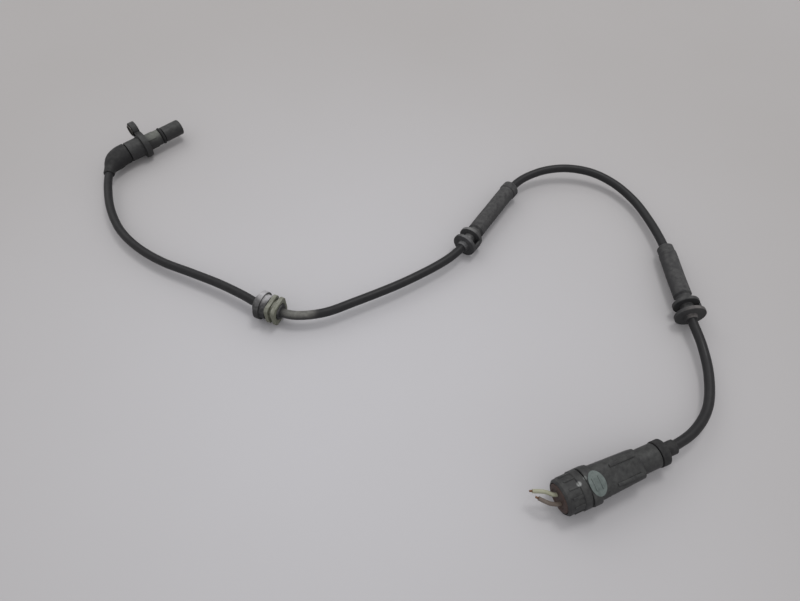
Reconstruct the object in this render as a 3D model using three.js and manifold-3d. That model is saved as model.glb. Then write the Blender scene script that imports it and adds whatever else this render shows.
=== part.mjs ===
// Wheel speed sensor with its cable, two guide grommets, a clip and its plugged-in connector.
// Millimetres. The probe points along +X, the table is z = 0 and +Z is up.
import * as THREE from "three";
import { mergeVertices } from "three/addons/utils/BufferGeometryUtils.js";
import Module from "manifold-3d";

const wasm = await Module();
wasm.setup();

// Fits
const clearance = 0.3;
const edge = 0.4;
const overcut = 1;
const roundSides = 24;
const smallSides = 12;

// Probe and flange
const barrelRadius = 5.2;
const tipX = 26.4;
const noseRadius = 3.4;
const noseLength = 6;
const ringGrooveX = 10.2;
const ringTubeRadius = 1;
const capWall = 1.2;
const tipWall = 1;
const tipRound = 1.2;
const tipRoundSteps = 4;
const flangeRadius = 8.8;
const flangeThickness = 4;
const flangeEdge = 0.3;
const collarRadius = 6.7;
const collarLength = 10;
const collarChamfer = 0.6;
const spigotRadius = 4.6;
const spigotLength = 5;
const coreBoreRadius = 2.4;
const crushRibs = 4;
const crushRibHeight = 0.35;
const crushRibWidth = 1;
const crushRibLength = 7;

// Bolting ear
const boltDistance = 11.8;
const earAngle = THREE.MathUtils.degToRad(40);
const earPlateThickness = 3;
const earFilletStart = 4.6;
const earWaist = 3;
const earWaistRise = 7.9;
const bossRadius = 5.1;
const bossHalfWidth = 4.6;
const bushRadius = 4;
const bushBoreRadius = 3.3;
const bushBack = 0.9;
const bushFront = 0.3;
const bushChamfer = 0.25;
const boltHeadRelief = 6.1;

// Parts inside the probe
const carrierLength = 7.5;
const chipThickness = 1.3;
const chipWidth = 4.6;
const chipHeight = 4.2;
const magnetSize = 4;
const magnetLength = 3;
const leadWidth = 0.6;
const leadThickness = 0.4;
const coreOffset = 1.2;
const coreRadius = 0.8;
const conductorRadius = 0.35;
const conductorLength = 2;
const crimpRadius = 0.85;
const crimpBore = 0.55;
const crimpLength = 3.6;
const crimpSeam = 0.3;
const leadTuck = 1;

// Cable
const cableRadius = 2.6;
const cableSteps = 80;
const tubeHalfSides = 5;
const wireSteps = 10;
const cableEndX = -6;

// Elbow boot, its profile as shares of its length and of the way from the collar's radius to the mouth's
const bootLength = 23;
const bootMouthRadius = 3.4;
const bootSteps = 12;
const bootProfile = [
  [0.026, 0],
  [0.26, 0],
  [0.48, 0.12],
  [0.65, 0.5],
  [0.8, 0.89],
  [1, 1],
];

// Clip and its rubber bush, measured along the line between its two route points
const clipStart = 8.4;
const clipHalfWidth = 6.7;
const clipCornerRadius = 3;
const clipCoreRadius = 5.6;
const clipFlangeThickness = 2.4;
const clipGrooveWidth = 1.7;
const clipSlit = 0.8;
const clipBushRadius = 4.6;
const clipBushStart = -0.6;
const clipBushNeck = 2.2;
const clipBushBead = 0.9;
const clipDiscRadius = 8.2;
const clipDiscThickness = 3.2;
const clipDrumRadius = 6.9;

// Guide grommets, measured along the cable from the outer face of the flange on the tail side
const grommetTailLength = 2.2;
const grommetTailRadius = 3.6;
const grommetTailTaper = 1;
const grommetFlangeThickness = 2.1;
const grommetGrooveWidth = 5.2;
const grommetCoreRadius = 3.6;
const grommetNeckRadius = 4.2;
const grommetNeckLength = 5;
const sleeveRadius = 5.05;
const sleeveCollarLength = 6;
const sleeveCollarTaper = 1.3;
const bridgeThickness = 1.3;
const bridgeWidth = 4.5;

// Connector, measured along its own axis from the cable side of the gland
const connectorRoll = THREE.MathUtils.degToRad(-16);
const glandTail = 3;
const glandTailRadius = 3.7;
const glandStep = 3.6;
const glandFlangeRadius = 6.6;
const glandFlangeLength = 4.4;
const glandPlugRadius = 5.1;
const glandPlugLength = 4.6;
const neckRadius = 6.2;
const neckLength = 11;
const shellLength = 30;
const shellHalfWidth = 8.5;
const shellHalfHeight = 7.6;
const shellCorner = 4.8;
const shellShoulderScale = 0.86;
const shellBandLength = 4.6;
const shellBandRise = 0.9;
const plugNoseRadius = 6.2;
const plugNoseWall = 1.2;
const plugNoseLength = 6.1;
const chamberRadius = 3.6;
const chamberLength = 12;
const pinOffset = 2.2;
const pinWidth = 0.8;
const pinThickness = 0.4;
const railWidth = 1.6;
const railHeight = 0.9;
const railOffset = 4.6;
const railLength = 14;
const railStart = 2;
const socketRadius = 9.5;
const socketLength = 12.2;
const socketWaist = 0.7;
const socketWall = 1.3;
const socketCavityDepth = 6.8;
const socketLipLength = 3.6;
const socketRibs = 12;
const socketRibWidth = 1.3;
const socketRibEnds = [1, 3];
const socketTaper = 1;
const sealRadius = 7.2;
const sealDepth = 3.6;
const sealProud = 0.5;
const towerRadius = 4.6;
const terminalWidth = 2.2;
const terminalHeight = 1.7;
const terminalLength = 6.5;
const terminalWall = 0.4;
const terminalFloor = 1.2;
const coreTuck = 1;
const pinShort = 1.5;
const lockLength = 8;
const lockWidth = 12;
const lockRise = 1.6;
const lockDepth = 0.8;
const lockDomeRadius = 16;
const lockDomeSides = 96;
const lockInset = 0.4;
const lockRidgeOffset = 1.6;
const lockRidgeWidth = 0.8;
const lockRidgeRise = 0.3;
const wireRadius = 1;
const wireRise = 0.45;
const strandRadius = 0.55;
const strandLength = 1.6;
const interfaceSealLength = 4;
const interfaceSealInset = 1.2;
const interfaceSealLips = 3;
const lipShare = 0.35;
const valleyShare = 0.55;

// The cable's route in millimetres from the flange's seat face and the probe's axis, z from the table
const route = [
  [cableEndX, 0, flangeRadius],
  [-13, 0, flangeRadius],
  [-19.5, -0.2, flangeRadius],
  [-25.4, -2.5, 8.6],
  [-30.7, -6.8, 8.4],
  [-35.4, -13.3, 8.1],
  [-40.7, -22.9, 7.7],
  [-47.1, -38.6, 7.1],
  [-50.9, -58, 6.6],
  [-49.7, -77.6, 6.4],
  [-44.4, -97.6, 6.6],
  [-35.7, -117.5, 7.1],
  [-27.8, -136.1, 7.7],
  [-22.3, -152.1, 8.1],
  [-19.2, -162.6, clipDiscRadius],
  [-11.2, -179.7, clipDiscRadius],
  [-5.9, -185.6, 8.1],
  [5.6, -193, 8],
  [22.1, -198.4, 8],
  [53.6, -206.8, 7.7],
  [82.1, -211.1, 7.5],
  [96, -210.5, 7.5],
  [126.5, -203.3, 7.5],
  [156.5, -196.4, 7.6],
  [168.8, -196.2, 8.1],
  [183.9, -201, 8.9],
  [196.4, -210, 9.2],
  [205.7, -222.8, 8.6],
  [209.8, -238, 7.3],
  [208, -255.4, 6.4],
  [200.5, -272.9, 6.6],
  [188.2, -292.1, 7.6],
  [171, -312.4, 8.4],
  [153.8, -333.6, 8.6],
  [144.4, -346.4, 7.6],
  [131.6, -358.9, 6.9],
  [114.8, -368.6, 7.4],
  [97.3, -371.2, 8.8],
  [80.1, -368.1, socketRadius],
  [66.9, -363.6, socketRadius],
];
const clipIndex = 14;
const connectorIndex = 38;

// The harness wires, across from their terminals and along from the back of the socket
const wires = [
  { name: "brown", side: -1, bendAcross: 1.8, bendAlong: 4.8, endAcross: 6.1, endAlong: 9.1 },
  { name: "yellow", side: 1, bendAcross: 3.2, bendAlong: 5.2, endAcross: 5.6, endAlong: 10.4 },
];

// Each grommet's place, from a route point, the way its sleeve runs and what differs between the two
const firstGrommet = {
  index: 21,
  shift: 2.5,
  direction: 1,
  outerFlangeRadius: 7.4,
  innerFlangeRadius: 7.3,
  sleeveLength: 39.7,
  collarRadius: 5.5,
};
const secondGrommet = {
  index: 33,
  shift: -2.5,
  direction: -1,
  outerFlangeRadius: 8.6,
  innerFlangeRadius: 7.4,
  sleeveLength: 31,
  collarRadius: 4.7,
};

const up = new THREE.Vector3(0, 0, 1);
const cableCurve = new THREE.CatmullRomCurve3(
  route.map((point) => new THREE.Vector3(...point)),
);
const samplesPerSpan = 40;
cableCurve.arcLengthDivisions = samplesPerSpan * (route.length - 1);
const cableLength = cableCurve.getLength();

// Solids from three.js geometry, and back
function solidOf(geometry) {
  const bare = geometry.index ? geometry.toNonIndexed() : geometry.clone();
  bare.deleteAttribute("normal");
  bare.deleteAttribute("uv");
  const merged = mergeVertices(bare, 1e-4);
  const corners = merged.index.array;
  const kept = [];
  for (let i = 0; i < corners.length; i += 3) {
    const [a, b, c] = [corners[i], corners[i + 1], corners[i + 2]];
    if (a !== b && b !== c && c !== a) kept.push(a, b, c);
  }
  const mesh = new wasm.Mesh({
    numProp: 3,
    vertProperties: merged.attributes.position.array,
    triVerts: new Uint32Array(kept),
  });
  return new wasm.Manifold(mesh);
}

function geometryOf(solid) {
  const mesh = solid.getMesh();
  const geometry = new THREE.BufferGeometry();
  geometry.setAttribute("position", new THREE.BufferAttribute(mesh.vertProperties, 3));
  geometry.setIndex(new THREE.BufferAttribute(mesh.triVerts, 1));
  geometry.computeVertexNormals();
  return geometry;
}

function join(...geometries) {
  return geometryOf(geometries.map(solidOf).reduce((whole, piece) => whole.add(piece)));
}

function cut(geometry, ...tools) {
  return geometryOf(tools.map(solidOf).reduce((whole, tool) => whole.subtract(tool), solidOf(geometry)));
}

function overlapOf(first, second) {
  return geometryOf(solidOf(first).intersect(solidOf(second)));
}

// A round solid about the Y axis from rising [along, radius] pairs, bored where a bore radius is given
function turned(outline, boreRadius = 0, sides = roundSides) {
  const points = outline.map(([along, radius]) => new THREE.Vector2(radius, along));
  const first = outline[0][0];
  const last = outline[outline.length - 1][0];
  if (boreRadius > 0) {
    points.push(new THREE.Vector2(boreRadius, last));
    points.push(new THREE.Vector2(boreRadius, first));
    points.push(points[0].clone());
  } else {
    points.unshift(new THREE.Vector2(0, first));
    points.push(new THREE.Vector2(0, last));
  }
  return new THREE.LatheGeometry(points, sides);
}

// A plain cylinder about the Y axis between two places along it
function rod(from, to, radius, sides = smallSides) {
  return turned([[from, radius], [to, radius]], 0, sides);
}

// A box given by its middle across and up, its ends along Y, its width and its height
function bar(from, to, width, height, across = 0, rise = 0) {
  const geometry = new THREE.BoxGeometry(width, to - from, height);
  return geometry.translate(across, (from + to) / 2, rise);
}

// A flat shape drawn across and up, made solid between two places along Y
function plate(shape, from, to, curveSegments = 5) {
  const settings = { depth: to - from, bevelEnabled: false, curveSegments };
  const geometry = new THREE.ExtrudeGeometry(shape, settings);
  return geometry.rotateX(Math.PI / 2).translate(0, to, 0);
}

function roundedRectangle(halfWidth, halfHeight, corner) {
  const shape = new THREE.Shape();
  shape.moveTo(-halfWidth + corner, -halfHeight);
  shape.absarc(halfWidth - corner, -halfHeight + corner, corner, -Math.PI / 2, 0);
  shape.absarc(halfWidth - corner, halfHeight - corner, corner, 0, Math.PI / 2);
  shape.absarc(-halfWidth + corner, halfHeight - corner, corner, Math.PI / 2, Math.PI);
  shape.absarc(-halfWidth + corner, -halfHeight + corner, corner, Math.PI, 1.5 * Math.PI);
  return shape;
}

// The head's pieces are made about Y and then turned so that their axis is the probe's axis
function onProbe(geometry, across = 0, rise = 0) {
  return geometry.rotateZ(-Math.PI / 2).translate(0, across, flangeRadius + rise);
}

// The frame at a length along the cable: across, along, up
function frameAt(length) {
  const share = THREE.MathUtils.clamp(length / cableLength, 0, 1);
  const along = cableCurve.getTangentAt(share);
  const across = new THREE.Vector3().crossVectors(along, up).normalize();
  const rise = new THREE.Vector3().crossVectors(across, along);
  return new THREE.Matrix4()
    .makeBasis(across, along, rise)
    .setPosition(cableCurve.getPointAt(share));
}

// The frame that starts at one route point and looks at the next
function frameBetween(index, roll = 0) {
  const start = new THREE.Vector3(...route[index]);
  const along = new THREE.Vector3(...route[index + 1]).sub(start).normalize();
  const across = new THREE.Vector3().crossVectors(along, up).normalize();
  const rise = new THREE.Vector3().crossVectors(across, along);
  return new THREE.Matrix4()
    .makeBasis(across, along, rise)
    .setPosition(start)
    .multiply(new THREE.Matrix4().makeRotationY(roll));
}

// How far along the cable a route point lies
function lengthToPoint(index) {
  return cableCurve.getLengths()[index * samplesPerSpan];
}

// Bends a solid made about the Y axis so that Y runs along the cable
function alongCable(geometry) {
  const place = geometry.attributes.position;
  const point = new THREE.Vector3();
  for (let i = 0; i < place.count; i += 1) {
    point.fromBufferAttribute(place, i);
    const frame = frameAt(point.y);
    point.setY(0).applyMatrix4(frame);
    place.setXYZ(i, point.x, point.y, point.z);
  }
  return geometry;
}

function tubeOn(path, radius, steps = wireSteps) {
  const section = new THREE.Shape();
  section.absarc(0, 0, radius, 0, 2 * Math.PI);
  return new THREE.ExtrudeGeometry(section, {
    steps,
    curveSegments: tubeHalfSides,
    bevelEnabled: false,
    extrudePath: path,
  });
}

// The room that every piece on the cable leaves for it
const cableBore = tubeOn(cableCurve, cableRadius + clearance, cableSteps);

function material(color, roughness, metalness = 0) {
  return new THREE.MeshStandardMaterial({ color, roughness, metalness });
}

const finishes = {
  housing: material(0x2b2b2d, 0.5),
  rubber: material(0x232325, 0.85),
  sheath: material(0x2c2c2e, 0.7),
  steel: material(0xa7a8a6, 0.35, 1),
  carrier: material(0xcfc9b6, 0.6),
  chip: material(0x1a1a1c, 0.45),
  magnet: material(0x6d6f72, 0.4, 0.8),
  tin: material(0xc9c7c0, 0.3, 1),
  core: material(0xe6e4de, 0.55),
  clip: material(0x74766a, 0.6),
  lock: material(0x8b9690, 0.5),
  seal: material(0x5a3f3a, 0.75),
  yellow: material(0xc9c58e, 0.55),
  brown: material(0x6e5344, 0.55),
  copper: material(0xb87a4b, 0.35, 1),
};

const head = new THREE.Group();
const harness = new THREE.Group();

function add(group, name, geometry, finish) {
  const mesh = new THREE.Mesh(geometry, finish);
  mesh.name = name;
  group.add(mesh);
}

// Places that several head pieces share, along the probe from the seat face
const collarBackX = -flangeThickness - collarLength;
const spigotBackX = collarBackX - spigotLength;
const ringGrooveWidth = 2 * ringTubeRadius + 2 * clearance;
const capBackX = ringGrooveX + ringGrooveWidth;
const noseX = ringGrooveX + noseLength;
const capBoreRadius = barrelRadius - capWall - clearance;

// The ear's outline, drawn with its bolt straight up: flange circle, hollow fillets, boss
function earOutline() {
  const filletRise = Math.sqrt(flangeRadius ** 2 - earFilletStart ** 2);
  const bossRise = boltDistance - Math.sqrt(bossRadius ** 2 - bossHalfWidth ** 2);
  const startAngle = Math.atan2(bossRise - boltDistance, bossHalfWidth);
  const shape = new THREE.Shape();
  shape.moveTo(0, 0);
  shape.lineTo(earFilletStart, filletRise);
  shape.quadraticCurveTo(earWaist, earWaistRise, bossHalfWidth, bossRise);
  shape.absarc(0, boltDistance, bossRadius, startAngle, Math.PI - startAngle);
  shape.quadraticCurveTo(-earWaist, earWaistRise, -earFilletStart, filletRise);
  shape.closePath();
  return shape;
}

// Turns a plate drawn with the bolt straight up to the ear's own lean, with Y as the probe's axis
function leaned(geometry) {
  return geometry.rotateY(earAngle - Math.PI / 2);
}

function sensorBody() {
  const outline = [
    [spigotBackX, spigotRadius],
    [collarBackX, spigotRadius],
    [collarBackX, collarRadius - collarChamfer],
    [collarBackX + collarChamfer, collarRadius],
    [-flangeThickness, collarRadius],
    [-flangeThickness, flangeRadius - flangeEdge],
    [-flangeThickness + flangeEdge, flangeRadius],
    [-flangeEdge, flangeRadius],
    [0, flangeRadius - flangeEdge],
    [0, barrelRadius],
    [ringGrooveX, barrelRadius],
    [ringGrooveX, noseRadius],
    [noseX, noseRadius],
  ];
  const core = turned(outline);
  const ear = leaned(plate(earOutline(), -flangeThickness, -flangeThickness + earPlateThickness));
  const bossPlace = new THREE.Matrix4().makeTranslation(0, 0, boltDistance);
  const boss = leaned(rod(-flangeThickness, 0, bossRadius, roundSides).applyMatrix4(bossPlace));
  const ribs = [];
  for (let i = 0; i < crushRibs; i += 1) {
    const height = crushRibHeight + barrelRadius / 2;
    const rise = barrelRadius + crushRibHeight - height / 2;
    const rib = bar(-overcut, crushRibLength, crushRibWidth, height, 0, rise);
    ribs.push(rib.rotateY(((i + 0.5) * 2 * Math.PI) / crushRibs));
  }
  const body = join(core, ear, boss, ...ribs);
  const socketEndX = cableEndX + 2 * clearance;
  const cableSocket = rod(spigotBackX - overcut, socketEndX, cableRadius + clearance, roundSides);
  const bushHole = rod(-flangeThickness - overcut, overcut, bushRadius + clearance, roundSides);
  const relief = rod(collarBackX - overcut, -flangeThickness, boltHeadRelief, roundSides);
  const boltTools = [bushHole, relief].map((tool) => leaned(tool.applyMatrix4(bossPlace)));
  const coreBore = rod(spigotBackX - overcut, noseX + overcut, coreBoreRadius, roundSides);
  const shaped = cut(body, coreBore, cableSocket, ...boltTools);
  return cut(onProbe(shaped), cableBore);
}

function boltBush() {
  const back = -flangeThickness - bushBack;
  const outline = [
    [back, bushRadius - bushChamfer],
    [back + bushChamfer, bushRadius],
    [bushFront - bushChamfer, bushRadius],
    [bushFront, bushRadius - bushChamfer],
  ];
  const bush = turned(outline, bushBoreRadius);
  bush.translate(0, 0, boltDistance);
  return onProbe(leaned(bush));
}

function probeCap() {
  const outline = [
    [capBackX, barrelRadius - clearance],
    [capBackX + clearance, barrelRadius],
  ];
  for (let i = 0; i <= tipRoundSteps; i += 1) {
    const angle = (i * Math.PI) / 2 / tipRoundSteps;
    outline.push([
      tipX - tipRound + tipRound * Math.sin(angle),
      barrelRadius - tipRound + tipRound * Math.cos(angle),
    ]);
  }
  const bore = rod(capBackX - overcut, tipX - tipWall, capBoreRadius, roundSides);
  return onProbe(cut(turned(outline), bore));
}

function oRing() {
  const ringRadius = noseRadius + clearance + ringTubeRadius;
  const ring = new THREE.TorusGeometry(ringRadius, ringTubeRadius, 8, roundSides);
  ring.rotateX(Math.PI / 2).translate(0, ringGrooveX + ringGrooveWidth / 2, 0);
  return onProbe(ring);
}

// The carrier, chip, magnet and leads are worked back from the inside of the tip
const carrierFront = tipX - tipWall - clearance;
const carrierBack = carrierFront - carrierLength;
const chipFront = carrierFront - clearance;
const chipBack = chipFront - chipThickness;
const magnetFront = chipBack - clearance;
const magnetBack = magnetFront - magnetLength;
const leadRise = -chipHeight / 2 - clearance - leadThickness;
const crimpBack = noseX - crimpLength - 2 * conductorLength;

function icCarrier() {
  const drum = rod(carrierBack, carrierFront, capBoreRadius - clearance, roundSides);
  const window = bar(
    magnetBack - clearance,
    chipBack - clearance / 2,
    magnetSize + 2 * clearance,
    3 * capBoreRadius,
  );
  const chipPocket = bar(
    chipBack - clearance,
    carrierFront + overcut,
    chipWidth + 2 * clearance,
    3 * capBoreRadius,
  );
  const slots = [-1, 1].map((side) =>
    bar(
      carrierBack - overcut,
      chipBack,
      leadWidth + 2 * clearance,
      leadThickness + 4 * clearance,
      side * coreOffset,
      leadRise,
    ),
  );
  return onProbe(cut(drum, window, chipPocket, ...slots));
}

function chipLead(side) {
  const half = leadThickness / 2;
  const riserX = (noseX + carrierBack) / 2;
  const outline = new THREE.Shape();
  outline.moveTo(crimpBack + crimpLength - leadTuck, -half);
  outline.lineTo(riserX - half, -half);
  outline.lineTo(riserX - half, leadRise - half);
  outline.lineTo(chipFront - half, leadRise - half);
  outline.lineTo(chipFront - half, leadRise + half);
  outline.lineTo(riserX + half, leadRise + half);
  outline.lineTo(riserX + half, half);
  outline.lineTo(crimpBack + crimpLength - leadTuck, half);
  outline.closePath();
  const strip = new THREE.ExtrudeGeometry(outline, { depth: leadWidth, bevelEnabled: false });
  strip.translate(0, 0, -leadWidth / 2).rotateX(Math.PI / 2);
  return strip.translate(0, side * coreOffset, flangeRadius);
}

function leadCrimp() {
  const crimpFront = crimpBack + crimpLength;
  const tube = turned([[crimpBack, crimpRadius], [crimpFront, crimpRadius]], crimpBore, smallSides);
  const seam = bar(crimpBack - overcut, crimpFront + overcut, crimpSeam, crimpRadius, 0, crimpRadius);
  return cut(tube, seam);
}

// An insulated core with its bared end towards the crimp
function headCore() {
  const insulationEnd = crimpBack - clearance;
  return turned(
    [
      [cableEndX + clearance, coreRadius],
      [insulationEnd, coreRadius],
      [insulationEnd, conductorRadius],
      [insulationEnd + conductorLength, conductorRadius],
    ],
    0,
    smallSides,
  );
}

function buildHead() {
  add(head, "sensor_body", sensorBody(), finishes.housing);
  add(head, "probe_cap", probeCap(), finishes.housing);
  add(head, "o_ring", oRing(), finishes.rubber);
  add(head, "bolt_bush", boltBush(), finishes.steel);
  add(head, "elbow_boot", elbowBoot(), finishes.rubber);
  add(head, "ic_carrier", icCarrier(), finishes.carrier);
  add(head, "sensor_chip", onProbe(bar(chipBack, chipFront, chipWidth, chipHeight)), finishes.chip);
  add(head, "bias_magnet", onProbe(bar(magnetBack, magnetFront, magnetSize, magnetSize)), finishes.magnet);
  for (const [index, side] of [-1, 1].entries()) {
    const number = index + 1;
    add(head, "chip_lead_" + number, chipLead(side), finishes.tin);
    add(head, "lead_crimp_" + number, onProbe(leadCrimp(), side * coreOffset), finishes.tin);
    add(head, "head_core_" + number, onProbe(headCore(), side * coreOffset), finishes.core);
  }
}

// The boot follows the cable out of the collar and thins down to it
function elbowBoot() {
  const start = cableEndX - collarBackX + clearance;
  const shape = new THREE.SplineCurve(
    bootProfile.map(([along, inward]) => new THREE.Vector2(
      start + along * bootLength,
      THREE.MathUtils.lerp(collarRadius, bootMouthRadius, inward),
    )),
  );
  const outline = [[start, collarRadius - collarChamfer]];
  for (const point of shape.getPoints(bootSteps)) outline.push([point.x, point.y]);
  const pocket = onProbe(
    rod(spigotBackX - clearance, collarBackX + overcut, spigotRadius + clearance, roundSides),
  );
  return cut(alongCable(turned(outline)), pocket, cableBore);
}

function clipPieces() {
  const frame = frameBetween(clipIndex);
  const grooveEnd = clipStart + clipFlangeThickness + clipGrooveWidth;
  const end = grooveEnd + clipFlangeThickness;
  const square = roundedRectangle(clipHalfWidth, clipHalfWidth, clipCornerRadius);
  const solid = join(
    rod(clipStart, end, clipCoreRadius, roundSides),
    plate(square, clipStart, clipStart + clipFlangeThickness),
    plate(square, grooveEnd, end),
  );
  const bore = rod(clipStart - overcut, end + overcut, clipBushRadius + clearance, roundSides);
  const slit = bar(clipStart - overcut, end + overcut, clipSlit, 2 * clipHalfWidth, 0, -clipHalfWidth);
  const discStart = clipBushStart + clipBushNeck;
  const discEnd = discStart + clipDiscThickness;
  const drumEnd = clipStart - clearance;
  const bushEnd = end + 2 * edge;
  const bush = turned([
    [clipBushStart, clipBushRadius],
    [clipBushStart + edge, clipBushRadius + clipBushBead],
    [discStart, clipBushRadius + clipBushBead],
    [discStart, clipDiscRadius - edge],
    [discStart + edge, clipDiscRadius],
    [discEnd - edge, clipDiscRadius],
    [discEnd, clipDiscRadius - edge],
    [discEnd, clipDrumRadius],
    [drumEnd - edge, clipDrumRadius],
    [drumEnd, clipDrumRadius - edge],
    [drumEnd, clipBushRadius],
    [bushEnd - edge, clipBushRadius],
    [bushEnd, clipBushRadius - edge],
  ]);
  add(harness, "clip", cut(solid, bore, slit).applyMatrix4(frame), finishes.clip);
  add(harness, "clip_bush", cut(bush.applyMatrix4(frame), cableBore), finishes.rubber);
}

// A guide grommet: tail, grooved spool with a bridge across the groove, neck, sleeve and end collar
function grommet(choice) {
  const { direction, outerFlangeRadius, innerFlangeRadius, sleeveLength, collarRadius } = choice;
  const pointLength = lengthToPoint(choice.index) + choice.shift;
  const grooveStart = grommetFlangeThickness;
  const grooveEnd = grooveStart + grommetGrooveWidth;
  const spoolEnd = grooveEnd + grommetFlangeThickness;
  const sleeveStart = spoolEnd + grommetNeckLength;
  const collarStart = sleeveStart + sleeveLength;
  const end = collarStart + sleeveCollarLength;
  const outline = [
    [-grommetTailLength, grommetTailRadius - edge],
    [-grommetTailLength + grommetTailTaper, grommetTailRadius],
    [0, grommetTailRadius],
    [0, outerFlangeRadius - edge],
    [edge, outerFlangeRadius],
    [grooveStart - edge, outerFlangeRadius],
    [grooveStart, outerFlangeRadius - edge],
    [grooveStart, grommetCoreRadius],
    [grooveEnd, grommetCoreRadius],
    [grooveEnd, innerFlangeRadius - edge],
    [grooveEnd + edge, innerFlangeRadius],
    [spoolEnd - edge, innerFlangeRadius],
    [spoolEnd, innerFlangeRadius - edge],
    [spoolEnd, grommetNeckRadius],
    [sleeveStart - grommetTailTaper, grommetNeckRadius],
    [sleeveStart, sleeveRadius],
    [sleeveStart + sleeveLength / 3, sleeveRadius],
    [sleeveStart + (2 * sleeveLength) / 3, sleeveRadius],
    [collarStart, sleeveRadius],
    [collarStart + edge, collarRadius],
    [end - sleeveCollarTaper, collarRadius],
    [end, collarRadius - sleeveCollarTaper],
  ];
  const placed = outline.map(([along, radius]) => [pointLength + direction * along, radius]);
  if (direction < 0) placed.reverse();
  const bridgeTop = Math.min(outerFlangeRadius, innerFlangeRadius);
  const bridgeEnds = [grooveStart - overcut, grooveEnd + overcut]
    .map((along) => pointLength + direction * along);
  const bridge = bar(
    Math.min(...bridgeEnds),
    Math.max(...bridgeEnds),
    bridgeThickness,
    bridgeWidth,
    direction * (bridgeTop - bridgeThickness / 2),
  );
  return cut(join(alongCable(turned(placed)), alongCable(bridge)), cableBore);
}

// Places that the connector's pieces share, along its axis
const glandEnd = glandStep + glandFlangeLength;
const neckStart = glandEnd + clearance;
const shellStart = neckStart + neckLength;
const shellEnd = shellStart + shellLength;
const noseEnd = shellEnd + plugNoseLength;
const chamberStart = neckStart + glandPlugLength + clearance;
const chamberEnd = chamberStart + chamberLength;
const socketStart = shellEnd + clearance;
const socketEnd = socketStart + socketLength;
const lockMiddle = shellEnd - lockLength / 2 - lockInset;
const lockFloor = shellHalfHeight - lockDepth;
const terminalBack = socketEnd - sealDepth - clearance;
const terminalFront = terminalBack - terminalLength;

function ellipse(halfWidth, halfLength) {
  const shape = new THREE.Shape();
  shape.absellipse(0, 0, halfWidth, halfLength, 0, 2 * Math.PI);
  return shape;
}

// The lock's outline as an upright column, wider by a margin all round
function lockColumn(margin, from, to) {
  const shape = ellipse(lockWidth / 2 + margin, lockLength / 2 + margin);
  const settings = { depth: to - from, bevelEnabled: false, curveSegments: smallSides };
  return new THREE.ExtrudeGeometry(shape, settings).translate(0, lockMiddle, from);
}

function plugHousing() {
  const shell = plate(
    roundedRectangle(shellHalfWidth, shellHalfHeight, shellCorner),
    shellStart,
    shellEnd,
  );
  const corners = shell.attributes.position;
  for (let i = 0; i < corners.count; i += 1) {
    const share = (corners.getY(i) - shellStart) / shellLength;
    const scale = THREE.MathUtils.lerp(shellShoulderScale, 1, share);
    corners.setX(i, corners.getX(i) * scale);
    corners.setZ(i, corners.getZ(i) * scale);
  }
  const bandShape = roundedRectangle(
    shellHalfWidth + shellBandRise,
    shellHalfHeight + shellBandRise,
    shellCorner + shellBandRise,
  );
  const band = plate(bandShape, shellEnd - shellBandLength, shellEnd);
  const neck = turned([
    [neckStart, neckRadius - edge],
    [neckStart + edge, neckRadius],
    [shellStart + overcut, neckRadius],
  ]);
  const nose = rod(shellEnd - overcut, noseEnd, plugNoseRadius, roundSides);
  const rails = [-1, 1].map((side) =>
    bar(
      shellStart + railStart,
      shellStart + railStart + railLength,
      railWidth,
      2 * railHeight,
      side * railOffset,
      shellHalfHeight * shellShoulderScale,
    ),
  );
  const noseBore = rod(shellEnd, noseEnd + overcut, plugNoseRadius - plugNoseWall, roundSides);
  const glandBore = rod(neckStart - overcut, chamberStart, glandPlugRadius + clearance, roundSides);
  const chamber = rod(neckStart, chamberEnd, chamberRadius, roundSides);
  const pinSlots = [-1, 1].map((side) =>
    bar(
      chamberEnd - overcut,
      shellEnd + overcut,
      pinWidth + 2 * clearance,
      pinThickness + 2 * clearance,
      side * pinOffset,
    ),
  );
  const pocket = lockColumn(clearance, lockFloor, 2 * shellHalfHeight);
  const body = join(shell, band, neck, nose, ...rails);
  return cut(body, noseBore, glandBore, chamber, ...pinSlots, pocket);
}

// A domed oval key that sits in a pocket on top of the plug, with two grip ridges
function lockSlide() {
  const column = lockColumn(0, lockFloor + clearance, 2 * shellHalfHeight);
  const domeAxis = shellHalfHeight + lockRise - lockDomeRadius;
  const dome = rod(lockMiddle - lockLength, lockMiddle + lockLength, lockDomeRadius, lockDomeSides);
  dome.translate(0, 0, domeAxis);
  const ridgeTop = shellHalfHeight + lockRise + lockRidgeRise;
  const ridges = [-1, 1].map((side) => {
    const from = lockMiddle + side * lockRidgeOffset - lockRidgeWidth / 2;
    const height = lockRise + lockRidgeRise;
    return bar(from, from + lockRidgeWidth, lockWidth / 2, height, 0, ridgeTop - height / 2);
  });
  return join(overlapOf(column, dome), ...ridges);
}

function cableGland() {
  return turned([
    [-glandTail, glandTailRadius - edge],
    [-glandTail + edge, glandTailRadius],
    [glandStep, glandTailRadius],
    [glandStep, glandFlangeRadius - edge],
    [glandStep + edge, glandFlangeRadius],
    [glandEnd - edge, glandFlangeRadius],
    [glandEnd, glandFlangeRadius - edge],
    [glandEnd, glandPlugRadius],
    [glandEnd + glandPlugLength - edge, glandPlugRadius],
    [glandEnd + glandPlugLength, glandPlugRadius - edge],
  ]);
}

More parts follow.
